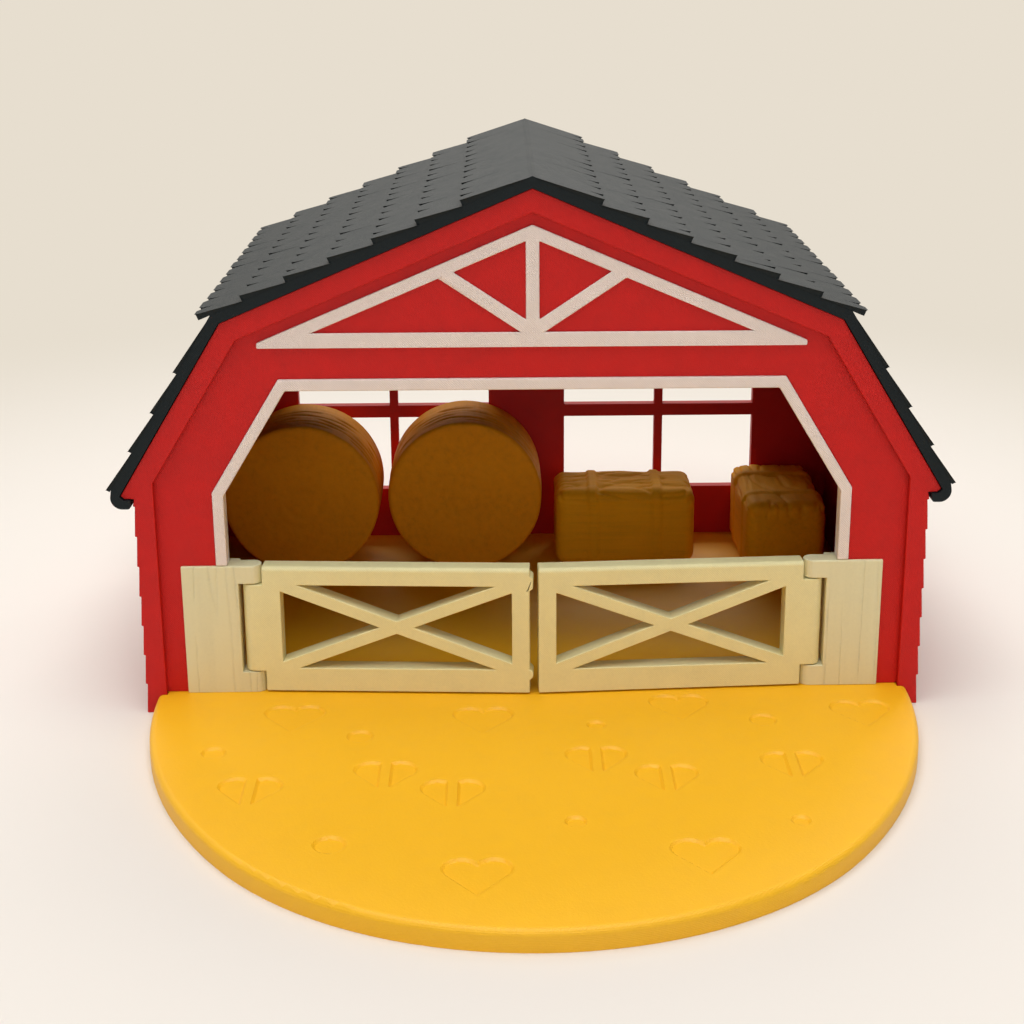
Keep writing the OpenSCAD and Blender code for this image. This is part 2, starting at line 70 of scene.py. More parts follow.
def place_camera():
    """The photograph's viewpoint."""
    spot = CAMERA_SPOT * MM + Vector((0, FRONT_Y, 0))
    ahead = Vector((math.sin(YAW) * math.cos(PITCH), math.cos(YAW) * math.cos(PITCH), -math.sin(PITCH)))
    right = Vector((math.cos(YAW), -math.sin(YAW), 0.0))
    up = right.cross(ahead)
    right, up = (math.cos(ROLL) * right + math.sin(ROLL) * up,
                 -math.sin(ROLL) * right + math.cos(ROLL) * up)
    data = bpy.data.cameras.new("camera")
    camera = show("camera", data)
    camera.matrix_world = Matrix((
        (right.x, up.x, -ahead.x, spot.x),
        (right.y, up.y, -ahead.y, spot.y),
        (right.z, up.z, -ahead.z, spot.z),
        (0, 0, 0, 1)))
    data.sensor_fit = "HORIZONTAL"
    data.sensor_width = SENSOR_MM
    data.lens = FOCAL_PX / FRAME_PX * data.sensor_width
    data.shift_x = data.shift_y = SHIFT_PX / FRAME_PX
    data.clip_start, data.clip_end = 0.01, 20
    bpy.context.scene.camera = camera


place_camera()


# Materials

WAVE_RATE = 20              # radians that a wave texture turns through in one unit at scale 1
LINE = 0.42 * MM            # width of a printed line
LAYER_PAIR = 0.4 * MM       # layers are drawn two to a ridge
SPECK_DEEP, LINE_DEEP, STRAW_DEEP, GRAIN_DEEP = 0.03 * MM, 0.035 * MM, 0.12 * MM, 0.12 * MM


def linear(hex_colour):
    """A hex colour as linear RGB."""
    values = [int(hex_colour[i:i + 2], 16) / 255 for i in (0, 2, 4)]
    return tuple(v / 12.92 if v <= 0.04045 else ((v + 0.055) / 1.055) ** 2.4 for v in values)


def shade(colour, factor):
    return tuple(min(1.0, c * factor) for c in colour)


def put(tree, socket, value):
    """Give a socket a number or a link."""
    if isinstance(value, (int, float)):
        socket.default_value = value
    else:
        tree.links.new(value, socket)


class Nodes:
    """One material and the making of its nodes."""

    def __init__(self, name):
        self.mat = bpy.data.materials.new(name)
        self.mat.use_nodes = True
        self.tree = self.mat.node_tree
        self.tree.nodes.clear()
        self.out = self.tree.nodes.new("ShaderNodeOutputMaterial")
        self.bsdf = self.tree.nodes.new("ShaderNodeBsdfPrincipled")
        self.link(self.bsdf.outputs[0], self.out.inputs[0])
        self.coord = self.tree.nodes.new("ShaderNodeTexCoord")

    def add(self, kind, **values):
        node = self.tree.nodes.new(kind)
        for key, value in values.items():
            setattr(node, key, value)
        return node

    def link(self, source, target):
        self.tree.links.new(source, target)

    def math(self, operation, a, b=None, clamp=False):
        node = self.add("ShaderNodeMath", operation=operation, use_clamp=clamp)
        for socket, value in zip(node.inputs, (a, b)):
            if value is not None:
                put(self.tree, socket, value)
        return node.outputs[0]

    def weighted(self, *parts):
        """The sum of the sockets, each times its weight."""
        total = None
        for socket, weight in reversed(parts):
            part = self.math("MULTIPLY", socket, weight)
            total = part if total is None else self.math("ADD", part, total)
        return total

    def above(self, value, low, gain):
        """0 up to low, then rising by the gain to 1."""
        return self.math("MULTIPLY", self.math("SUBTRACT", value, low), gain, clamp=True)

    def mapped(self, setting, value):
        """Object coordinates with one setting of a mapping, Scale or Rotation."""
        node = self.add("ShaderNodeMapping", vector_type="POINT")
        node.inputs[setting].default_value = value
        self.link(self.coord.outputs["Object"], node.inputs["Vector"])
        return node.outputs[0]

    def noise(self, scale, detail=3.0, rough=0.5):
        """Noise with that many cycles in a metre, along all axes or along each."""
        node = self.add("ShaderNodeTexNoise")
        node.inputs["Scale"].default_value = 1.0
        node.inputs["Detail"].default_value = detail
        node.inputs["Roughness"].default_value = rough
        scales = scale if isinstance(scale, tuple) else (scale, scale, scale)
        self.link(self.mapped("Scale", scales), node.inputs["Vector"])
        return node.outputs["Fac"]

    def speck(self):
        """The fine unevenness of a plastic surface."""
        return self.noise(1400, detail=2, rough=0.7)

    def bands(self, pitch, turn, axis, wobble):
        """Parallel ridges of that pitch in metres, along the turned axis."""
        node = self.add("ShaderNodeTexWave", wave_type="BANDS", bands_direction=axis, wave_profile="SIN")
        node.inputs["Scale"].default_value = 1 / pitch / WAVE_RATE * math.tau
        node.inputs["Distortion"].default_value = wobble
        node.inputs["Detail"].default_value = 1.0
        node.inputs["Detail Scale"].default_value = 0.6
        self.link(self.mapped("Rotation", turn), node.inputs["Vector"])
        return node.outputs["Fac"]

    def side(self, axis):
        """1 on faces whose normal lies along that axis of the frame, and 0 on the others."""
        split = self.add("ShaderNodeSeparateXYZ")
        self.link(self.coord.outputs["Normal"], split.inputs[0])
        return self.above(self.math("ABSOLUTE", split.outputs["XYZ".index(axis)]), 0.6, 5.0)

    def mix(self, factor, a, b):
        node = self.add("ShaderNodeMix", data_type="FLOAT")
        self.link(factor, node.inputs["Factor"])
        put(self.tree, node.inputs[2], a)
        put(self.tree, node.inputs[3], b)
        return node.outputs[0]

    def tones(self, factor, stops):
        """Colours along a ramp, from (place, linear colour) stops."""
        ramp = self.add("ShaderNodeValToRGB")
        while len(ramp.color_ramp.elements) < len(stops):
            ramp.color_ramp.elements.new(0.5)
        for element, (place, colour) in zip(ramp.color_ramp.elements, stops):
            element.position = place
            element.color = (*colour, 1)
        self.link(factor, ramp.inputs[0])
        return ramp.outputs[0]

    def bump(self, height, distance, normal=None):
        node = self.add("ShaderNodeBump")
        node.inputs["Strength"].default_value = 1.0
        node.inputs["Distance"].default_value = distance
        self.link(height, node.inputs["Height"])
        if normal is not None:
            self.link(normal, node.inputs["Normal"])
        return node.outputs[0]

    def surface(self, colour, roughness, gloss, normal):
        """Fill in the shader; a number goes on its own socket. Returns the material."""
        self.link(colour, self.bsdf.inputs["Base Color"])
        put(self.tree, self.bsdf.inputs["Roughness"], roughness)
        self.bsdf.inputs["Specular IOR Level"].default_value = gloss
        self.link(normal, self.bsdf.inputs["Normal"])
        return self.mat


def printed(name, hex_colour, flat_axis, rough=0.5, grain=1.0, lines=1.0, tone=0.06, gloss=0.4):
    """Printed plastic: lines at 45 degrees on the faces across flat_axis, and layers on the others.

    grain and lines scale the two bumps, and tone says how far the colour varies.
    """
    n = Nodes(name)
    base = linear(hex_colour)
    blotch = n.noise(170, detail=5, rough=0.65)
    speck = n.speck()
    slant = math.radians(45)
    turn, axis = {"Y": ((0, slant, 0), "X"), "X": ((slant, 0, 0), "Y"), "Z": ((0, 0, slant), "X")}[flat_axis]
    diagonal = n.bands(LINE, turn, axis, wobble=0.4)
    layers = n.bands(LAYER_PAIR, (0, 0, 0), flat_axis, wobble=0.3)
    ridge = n.mix(n.side(flat_axis), layers, diagonal)
    colour = n.tones(n.weighted((blotch, 0.5), (speck, 0.3), (ridge, 0.2)), [
        (0.25, shade(base, 1 - 1.6 * tone)), (0.5, base), (0.75, shade(base, 1 + 1.2 * tone))])
    fine = n.bump(speck, SPECK_DEEP * grain)
    return n.surface(colour, n.mix(blotch, rough - 0.06, rough + 0.08), gloss,
                     n.bump(ridge, LINE_DEEP * lines, normal=fine))


def wood_grained(name, hex_colour):
    """Printed cream plastic with thin, broken grain lines drawn along Z."""
    n = Nodes(name)
    base = linear(hex_colour)
    wide = n.noise((260, 260, 10))
    speck = n.speck()
    drawn = n.noise((230, 230, 8), detail=1.0, rough=0.4)
    from_middle = n.math("ABSOLUTE", n.math("SUBTRACT", drawn, 0.5))
    line = n.math("SUBTRACT", 1.0, n.math("MULTIPLY", from_middle, 34.0), clamp=True)
    broken = n.above(n.noise((140, 140, 60)), 0.36, 5.0)
    groove = n.math("MULTIPLY", line, broken)
    colour = n.tones(n.weighted((wide, 0.6), (speck, 0.25), (groove, -0.16)), [
        (0.1, shade(base, 0.78)), (0.3, shade(base, 0.95)), (0.45, base), (0.7, shade(base, 1.04))])
    fine = n.bump(speck, SPECK_DEEP)
    return n.surface(colour, 0.5, 0.4, n.bump(n.math("SUBTRACT", 1.0, groove), GRAIN_DEEP, normal=fine))


def straw(name, hex_colour, scale):
    """Straw-like plastic: soft streaks along the direction whose scale is small."""
    n = Nodes(name)
    base = linear(hex_colour)
    streak = n.noise(scale, detail=4, rough=0.62)
    blotch = n.noise(70)
    speck = n.noise(1500, detail=2, rough=0.7)
    colour = n.tones(n.weighted((streak, 0.5), (blotch, 0.3), (speck, 0.2)), [
        (0.3, shade(base, 0.8)), (0.48, shade(base, 0.95)), (0.6, base), (0.75, shade(base, 1.12))])
    fine = n.bump(speck, SPECK_DEEP)
    return n.surface(colour, 0.65, 0.2, n.bump(streak, STRAW_DEEP, normal=fine))


def drawn_steel():
    """Bright wire, with faint lines along Z."""
    n = Nodes("pin_steel")
    streak = n.noise((3000, 3000, 60))
    n.link(n.tones(streak, [(0.3, (0.42, 0.42, 0.43)), (0.7, (0.62, 0.62, 0.64))]),
           n.bsdf.inputs["Base Color"])
    n.bsdf.inputs["Metallic"].default_value = 1.0
    n.bsdf.inputs["Roughness"].default_value = 0.32
    n.link(n.bump(streak, 0.01 * MM), n.bsdf.inputs["Normal"])
    return n.mat


red_front = printed("red_front", "CC1512", "Y", tone=0.11, gloss=0.3)
red_side = printed("red_side", "C81512", "X", tone=0.11, gloss=0.3)
slate = printed("slate", "192124", "Y", rough=0.52, grain=1.4, tone=0.14, gloss=0.18)
cream_front = printed("cream_front", "F3E4DC", "Y", lines=2.2)
cream_gate = printed("cream_gate", "EEE4AC", "Y", rough=0.44, grain=1.2, gloss=0.5)
cream_plate = wood_grained("cream_plate", "E8E0B6")
# The yard's yellow has a little blue lifted into it all over, as painted sheen on top of the slab's own deep
# yellow.
yard_yellow_and_sheen = printed("yard_yellow_and_sheen", "FFBE14", "Z", rough=0.48, grain=1.8, tone=0.04, gloss=0.5)
straw_round = straw("straw_round", "F9A20A", (500, 60, 500))
straw_square = straw("straw_square", "FFB20A", (50, 700, 900))
straw_turned = straw("straw_turned", "FFB20A", (700, 50, 900))
pin_steel = drawn_steel()
looks = {
    "front_frame": red_front, "front_panel": red_front, "back_wall": red_front,
    "side_wall_left": red_side, "side_wall_right": red_side, "roof": slate,
    "gable_truss": cream_front, "door_trim": cream_front,
    "gate_left": cream_gate, "gate_right": cream_gate,
    "hinge_plate_left": cream_plate, "hinge_plate_right": cream_plate,
    "hinge_pin_left": pin_steel, "hinge_pin_right": pin_steel,
    "base": yard_yellow_and_sheen, "round_bale_left": straw_round, "round_bale_right": straw_round,
    "square_bale_left": straw_square, "square_bale_right": straw_turned}
for name, material in looks.items():
    mesh = nodes[name].data
    mesh.materials.clear()
    mesh.materials.append(material)


# Pieces with a finer surface than the solids

def new_piece(name, verts, faces, body, slot, node, sharp):
    """A mesh in metres that rides on a body and stands for a CAD node, in that node's material.

    Edges of more than sharp degrees stay sharp.
    """
    mesh = bpy.data.meshes.new(name)
    mesh.from_pydata([tuple(v) for v in verts], [], faces)
    mesh.materials.append(looks[node])
    work = bmesh.new()
    work.from_mesh(mesh)
    bmesh.ops.recalc_face_normals(work, faces=work.faces)
    work.to_mesh(mesh)
    work.free()
    mesh.polygons.foreach_set("use_smooth", [True] * len(mesh.polygons))
    mesh.set_sharp_from_angle(angle=math.radians(sharp))
    piece = show(name, mesh)
    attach(piece, body)
    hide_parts(node)
    return piece


def step(low, high, value):
    """0 below low, 1 above high and smooth between them."""
    t = min(1.0, max(0.0, (value - low) / (high - low)))
    return t * t * (3 - 2 * t)


def bumpy(x, y, z):
    """Smooth noise between about -1 and 1; what x, y and z are divided by is the size of a lump."""
    return noise.noise(Vector((x, y, z)))


# The round bales

ROLL_GROW = 0.5             # how much fuller the bale is than its solid
ROLL_EDGE = 1.3             # radius of its edges
ROLL_POINTS = 300           # points in a turn
ROLL_STEP = 0.4             # distance between the rings along its side
ROLL_FRONT_RINGS, ROLL_BACK_RINGS, ROLL_EDGE_STEPS = 18, 12, 5
SPIRAL_PITCH, SPIRAL_DEEP = 3.1, 0.2
GROOVES = (4.4, 7.4, 10.4, 13.9, 17.6)      # places behind the bale's front
GROOVE_DEEP, GROOVE_HALF, GROOVE_WANDER = 0.62, 0.5, 0.8


def roll_profile(radius, length):
    """Rings from the middle of the front face to that of the back: radius, depth and way out."""
    flat = radius - ROLL_EDGE
    quarter = [math.radians(90 * i / ROLL_EDGE_STEPS) for i in range(ROLL_EDGE_STEPS + 1)]
    front = [0.9 * i * flat / ROLL_FRONT_RINGS for i in range(1, ROLL_FRONT_RINGS + 2)]
    rings = [(r, 0.0, (0, -1)) for r in front if r < flat - 0.3]
    rings += [(flat + ROLL_EDGE * math.sin(a), ROLL_EDGE - ROLL_EDGE * math.cos(a),
               (math.sin(a), -math.cos(a))) for a in quarter]
    steps = round((length - 2 * ROLL_EDGE) / ROLL_STEP)
    rings += [(radius, ROLL_EDGE + (length - 2 * ROLL_EDGE) * i / steps, (1, 0)) for i in range(1, steps)]
    rings += [(flat + ROLL_EDGE * math.cos(a), length - ROLL_EDGE + ROLL_EDGE * math.sin(a),
               (math.cos(a), math.sin(a))) for a in quarter]
    back = [r * flat / ROLL_BACK_RINGS for r in range(ROLL_BACK_RINGS - 1, 0, -1)]
    return rings + [(r, length, (0, 1)) for r in back]


def roll_face(r, angle, seed):
    """Height of a bale's face: a faint spiral, fainter near the edge, and soft lumps."""
    x, z = r * math.cos(angle), r * math.sin(angle)
    turns = r / SPIRAL_PITCH - angle / math.tau + 0.35 * bumpy(x / 9, seed, z / 9)
    swirl = math.cos(math.tau * turns)
    spiral = -SPIRAL_DEEP * (0.5 + 0.5 * swirl) * (1 - 0.6 * step(8, 16, r)) * step(1, 3, r)
    return spiral + 0.1 * bumpy(x / 4, seed + 3, z / 4)


def roll_side(y, angle, radius, length, seed):
    """Height of a bale's side: lumps, broken grooves, fine straw between the ends, ends pulled in."""
    x, z = radius * math.cos(angle), radius * math.sin(angle)
    height = 0.12 * bumpy(x / 7, y / 2.2, z / 7 + seed)
    for k, place in enumerate(GROOVES):
        off = y - place - GROOVE_WANDER * bumpy(x / 12, 5.0 * k + seed, z / 12)
        there = step(-0.35, 0.1, bumpy(x / 10, 3.7 * k + seed + 20, z / 10))
        height -= GROOVE_DEEP * there * math.exp(-(off / GROOVE_HALF) ** 2)
    height += 0.1 * bumpy(x / 5, y / 0.8, z / 5 + seed) * step(2.5, 4, y) * (1 - step(19, 22, y))
    return height - 0.15 * ((2 * y / length - 1) ** 2)


def round_bale(node, seed):
    """A rolled bale, kept above its solid's flat foot and between its solid's front and back."""
    low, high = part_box(node)
    half = (high.x - low.x) / 2
    radius, length = half / MM + ROLL_GROW, (high.y - low.y) / MM
    middle = Vector(((low.x + high.x) / 2, low.y, high.z - half + ROLL_GROW * MM))
    profile = roll_profile(radius, length)
    verts, faces = [], []
    for r, y, out in profile:
        for k in range(ROLL_POINTS):
            angle = math.tau * k / ROLL_POINTS
            grow = (roll_face(r, angle, seed) * abs(out[1])
                    + roll_side(y, angle, radius, length, seed) * abs(out[0]))
            reach = (r + grow * out[0]) * MM
            spot = middle + Vector((reach * math.cos(angle), (y + grow * out[1]) * MM,
                                    reach * math.sin(angle)))
            spot.z = max(spot.z, low.z)
            spot.y = min(max(spot.y, low.y), high.y)
            verts.append(spot)
    last = len(profile) - 1
    for i in range(last):
        for k in range(ROLL_POINTS):
            a, b = i * ROLL_POINTS + k, i * ROLL_POINTS + (k + 1) % ROLL_POINTS
            faces.append((a, b, b + ROLL_POINTS, a + ROLL_POINTS))
    for ring, y in ((0, 0.0), (last, length)):
        verts.append(middle + Vector((0, y * MM, 0)))
        first = ring * ROLL_POINTS
        faces += [(len(verts) - 1, first + (k + 1) % ROLL_POINTS, first + k) for k in range(ROLL_POINTS)]
    new_piece(node + "_straw", verts, faces, "barn", "straw", node, sharp=80)


round_bale("round_bale_left", 1.3)
round_bale("round_bale_right", 6.9)


# The square bales

STRAP_PROUD = 0.5           # how far the straps' solid stands out of the bale
STRAP_PLACES = (0.27, 0.73)     # along the bale's length
BLOCK_EDGE = 3.4            # radius of the edges
BLOCK_STEP = 0.5            # distance between the points


def block_relief(p, out, size, seed):
    """Height of the straw at p, strongest near the top, and of the straps across it."""
    top = step(size.z - 5.5, size.z - 2.0, p.z)
    crease = math.exp(-(bumpy(p.x / 15, p.y / 3.4 + seed, p.z / 5) / 0.12) ** 2)
    tuft = bumpy(p.x / 14, p.y / 4.2, p.z / 4.2 + seed + 8)
    fibre = bumpy(p.x / 5, p.y / 1.1, p.z / 1.1 + seed)
    grow = -(0.07 + 0.5 * top) * crease + (0.08 + 0.3 * top) * tuft + (0.03 + 0.07 * top) * fibre
    for place in STRAP_PLACES:
        off = abs(p.x - place * size.x + 0.5 * bumpy(place * 9, p.y / 6, p.z / 6 + seed))
        band = (1 - step(1.0, 1.8, off)) * (1 - abs(out.x))
        grow = grow * (1 - band) + band * (0.3 + 0.25 * top + 0.05 * fibre)
    return grow


def square_bale(node, along_y, seed):
    """A pressed bale with wavy ridges of straw along its top and two soft straps round it."""
    low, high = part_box(node)
    span = (high - low) / MM
    long, wide = (span.y, span.x) if along_y else (span.x, span.y)
    size = Vector((long, wide - 2 * STRAP_PROUD, span.z - STRAP_PROUD))
    cells = [round(d / BLOCK_STEP) for d in size]
    index, verts, faces = {}, [], []

    def vertex(cell):
        if cell not in index:
            p = Vector([size[a] * cell[a] / cells[a] for a in range(3)])
            core = Vector([min(max(p[a], BLOCK_EDGE), size[a] - BLOCK_EDGE) for a in range(3)])
            out = (p - core).normalized()
            p = core + out * BLOCK_EDGE
            p += out * block_relief(p, out, size, seed)
            p.z = max(p.z, 0.0)
            p.x = min(max(p.x, 0.0), size.x)
            spot = Vector((size.y - p.y + STRAP_PROUD, p.x, p.z)) if along_y else Vector(
                (p.x, p.y + STRAP_PROUD, p.z))
            index[cell] = len(verts)
            verts.append(low + spot * MM)
        return index[cell]

    for axis in range(3):
        a, b = [k for k in range(3) if k != axis]
        for end in (0, cells[axis]):
            for i in range(cells[a]):
                for j in range(cells[b]):
                    ring = []
                    for di, dj in ((0, 0), (1, 0), (1, 1), (0, 1)):
                        cell = [0, 0, 0]
                        cell[axis], cell[a], cell[b] = end, i + di, j + dj
                        ring.append(vertex(tuple(cell)))
                    faces.append(ring)
    new_piece(node + "_straw", verts, faces, "barn", "straw", node, sharp=80)


square_bale("square_bale_left", False, 2.4)
square_bale("square_bale_right", True, 11.7)


# The roof: the shell as in the source, and on it each shingle as a wedge of its own. Points of its
# outline are (x, z), places along it are y from the barn's front.

APEX, KNEE, EAVE = Vector((0, 134.8)), Vector((76, 102.5)), Vector((102.8, 58.9))
RAIL, RAIL_ROOT = Vector((101.9, 58)), Vector((100, 58))
ROOF_T, ROOF_FIT, ROOF_OVER, BARN_DEEP = 2.8, 0.15, 0.8, 127
LIP, LIP_R = EAVE - Vector((0.5, 0.4)), 2.9
LIP_TIP, LIP_TIP_R = Vector((101.1, LIP.y - 2.1)), 0.8
LIP_INSIDE = Vector((100.3, 57.85))
SHINGLE_W, JOINT_W = 10.7, 0.5
CUT_LONG, CUT_WIDE = 3.9, 1.9       # a shingle's cut lower corners
UPPER_TALL, UPPER_FIRST, UPPER_ROWS = 1.6, 17, 6
LOWER_TALL, LOWER_START, LOWER_FIRST, LOWER_ROWS = 1.0, 2.0, 16.4, 3
# A shingle's rings from its foot up: how far each stands outside its plan and under its top.
# The foot is sunk into the shell.
FOOT_SUNK = 0.05
SHINGLE_RINGS = ((0, None), (0, 0.3), (0.05, 0.12), (0.15, 0.03), (0.3, 0.0))


def left_of(v):
    return Vector((-v.y, v.x))


def mitre(a, b, c, d):
    """The corner b of a-b-c, moved d to the left of both its sides."""
    m, n = left_of((b - a).normalized()), left_of((c - b).normalized())
    return b + d * (m + n) / (1 + m.dot(n))


def along(p, q, s, t):
    """The point s from p towards q and t to the left."""
    way = (q - p).normalized()
    return p + s * way + t * left_of(way)


def arc(c, r, start, end, steps):
    angles = [math.radians(start + (end - start) * i / steps) for i in range(steps + 1)]
    return [c + r * Vector((math.cos(a), math.sin(a))) for a in angles]


def outset(loop, d):
    """A convex loop, run anticlockwise, moved outwards by d."""
    count = len(loop)
    return [mitre(loop[i - 1], loop[i], loop[(i + 1) % count], -d) for i in range(count)]


class Roof:
    """The roof's points and faces."""

    def __init__(self):
        self.verts, self.faces = [], []
        self.shell()
        upper = (KNEE - APEX).length + 4 - UPPER_FIRST
        self.courses(APEX, KNEE, [0.0] + [
            UPPER_FIRST + i * upper / UPPER_ROWS for i in range(UPPER_ROWS + 1)], UPPER_TALL, 0)
        lower = (EAVE - KNEE).length + 0.3 - LOWER_FIRST
        self.courses(KNEE, EAVE, [LOWER_START] + [
            LOWER_FIRST + i * lower / LOWER_ROWS for i in range(LOWER_ROWS + 1)], LOWER_TALL, 1)

    def place(self, x, y, z):
        self.verts.append(Vector((x * MM, FRONT_Y + y * MM, z * MM)))
        return len(self.verts) - 1

    def shell(self):
        """The bent sheet and its rolled lips, which hook round the rails."""
        pitch = math.cos(math.atan2(APEX.y - KNEE.y, KNEE.x))
        half = [Vector((0, APEX.y + ROOF_T / pitch)), mitre(APEX, KNEE, EAVE, ROOF_T),
                along(KNEE, EAVE, (EAVE - KNEE).length - 0.6, ROOF_T)]
        half += arc(LIP, LIP_R, 10, -90, 14) + arc(LIP_TIP, LIP_TIP_R, 270, 180, 6)
        half += [LIP_INSIDE, mitre(EAVE, RAIL, RAIL_ROOT, ROOF_FIT), mitre(KNEE, EAVE, RAIL, ROOF_FIT),
                 mitre(APEX, KNEE, EAVE, ROOF_FIT), Vector((0, APEX.y + ROOF_FIT / pitch))]
        ring = half + [Vector((-p.x, p.y)) for p in half[-2:0:-1]]
        front, back = [[self.place(p.x, y, p.y) for p in ring] for y in (-ROOF_OVER, BARN_DEEP + ROOF_OVER)]
        self.faces += [(front[i - 1], front[i], back[i], back[i - 1]) for i in range(len(ring))]
        self.faces += [front, back[::-1]]

    def courses(self, p, q, edges, tall, first_row):
        """Rows of shingles down the slope from p to q, staggered, on both sides of the roof."""
        for i, (s0, s1) in enumerate(zip(edges, edges[1:])):
            cuts = []
            y = (1 + (i + first_row) % 2) * SHINGLE_W / 2
            while y < BARN_DEEP - 1:
                cuts.append(y)
                y += SHINGLE_W
            starts = [-ROOF_OVER] + [y + JOINT_W / 2 for y in cuts]
            stops = [y - JOINT_W / 2 for y in cuts] + [BARN_DEEP + ROOF_OVER]
            for side in (1, -1):
                for k, (y0, y1) in enumerate(zip(starts, stops)):
                    self.shingle(p, q, s0, s1, y0, y1, side, tall, k + 20 * i, k == 0, k == len(cuts))

    def shingle(self, p, q, s0, s1, y0, y1, side, tall, number, first, last):
        """One shingle from s0 to s1 down the slope, thin above and thick at its nose."""
        s1 += 0.35 * bumpy(number * 1.7, s1 / 5, side * 3.0)
        tall += 0.12 * bumpy(number * 2.3, s1 / 4, side * 5.0)
        long = s1 - s0

        def corner(y, way, outer):
            if outer:
                return [Vector((y, long - 1.0)), Vector((y + way * 0.3, long))]
            return [Vector((y, long - CUT_LONG)),
                    Vector((y + way * CUT_WIDE * 0.35, long - CUT_LONG * 0.38)),
                    Vector((y + way * CUT_WIDE, long))]

        plan = [Vector((y1, 0))] + corner(y1, -1, last) + corner(y0, 1, first)[::-1] + [Vector((y0, 0))]
        rings = []
        for d, drop in SHINGLE_RINGS:
            ring = []
            for spot in (outset(plan, d) if d else plan):
                lift = -FOOT_SUNK if drop is None else max(0.02, tall * max(0.0, spot.y) / long - drop)
                point = along(p, q, s0 + spot.y, ROOF_T + lift)
                ring.append(self.place(side * point.x, spot.x, point.y))
            rings.append(ring)
        count = len(plan)
        for lower, upper in zip(rings, rings[1:]):
            self.faces += [(lower[i], lower[(i + 1) % count], upper[(i + 1) % count], upper[i])
                           for i in range(count)]
        self.faces += [rings[-1], rings[0][::-1]]


roof = Roof()
new_piece("roof_shingled", roof.verts, roof.faces, "roof", "slate", "roof", sharp=35)


# The yard: the source's slab, with soft-walled hoof prints. Their places are (x, y) from the middle of
# the barn's front; a pad has its size as well.

SLAB_T, PRINT_W, PRINT_T = 5.0, 14.6, 0.6
HEARTS = ((-60.5, -11.9), (-13.1, -14.2), (36.7, -7.9), (82.3, -12.8), (-13.7, -90.4), (35.3, -83.2))
SPLITS = ((-66.5, -51.4), (-35.8, -44.0), (-19.8, -53.9), (14.1, -37.4), (30.1, -47.5), (60.5, -41.4))
PADS = ((-43.1, -26.1, 1.12), (-77.6, -34.1, 1.0), (-45.8, -79.5, 1.25), (15.0, -21.2, 0.8),
        (56.8, -19.4, 1.14), (7.9, -70.6, 0.83), (57.9, -71.5, 0.75))
HEART_SIZE, SPLIT_SIZE = 1.05, 1.03
PRINT_GRID, PRINT_REACH, PRINT_TIP = 0.36, 11.5, 6      # the tip is in grid steps
WALL_IN, WALL_OUT = -0.5, 0.12      # where a print's wall ends and begins, from its outline
INSIDE_TRIANGLES = 1                # the kind of result asked of the triangulation
LEVEL = 0.9999


def heart_half():
    """The right half of a hoof print's outline."""
    lobe_r = PRINT_W * 0.27
    lobe_x = PRINT_W / 2 - lobe_r
    start = math.degrees(math.acos(-lobe_x / lobe_r)) - 12
    return [Vector((0, lobe_r / 2)), *arc(Vector((lobe_x, 0)), lobe_r, start, -35, 12),
            Vector((0, -PRINT_W * 0.72))]


HEART = heart_half()


def to_heart(x, y, size):
    """Distance from a point to the outline of a hoof print of that size, negative inside."""
    x, y = abs(x / size), y / size
    near, inside = 1e9, False
    for p, q in zip(HEART, HEART[1:]):
        way = q - p
        t = min(1.0, max(0.0, ((x - p.x) * way.x + (y - p.y) * way.y) / way.length_squared))
        near = min(near, math.hypot(x - p.x - t * way.x, y - p.y - t * way.y))
        if (p.y > y) != (q.y > y) and x < p.x + (y - p.y) / way.y * way.x:
            inside = not inside
    return size * (-near if inside else near)


def prints():
    """Each print's place and the function that gives the distance to its outline."""
    for x, y in HEARTS:
        yield x, y, lambda u, v: to_heart(u, v, HEART_SIZE)
    for x, y in SPLITS:
        yield x, y, lambda u, v: max(to_heart(u, v, SPLIT_SIZE), PRINT_W * 0.08 - abs(u))
    for x, y, size in PADS:
        yield x, y, lambda u, v, size=size: math.hypot(u, v) - PRINT_W * 0.2 * size


def print_points():
    """Points (x, y) on a grid over each print, close together at its wall, and their depths."""
    cells = round(PRINT_REACH / PRINT_GRID)
    for x, y, distance in prints():
        for i in range(-cells, cells + 1):
            for j in range(-cells - PRINT_TIP, cells - PRINT_TIP):
                u, v = i * PRINT_GRID, j * PRINT_GRID
                gap = distance(u, v)
                if -1.0 < gap < 0.6 or (gap <= -1.0 and i % 3 == 0 and j % 3 == 0):
                    depth = PRINT_T * (1 - step(WALL_IN, WALL_OUT, gap))
                    yield Vector((x + u, FRONT_Y / MM + y + v)), depth


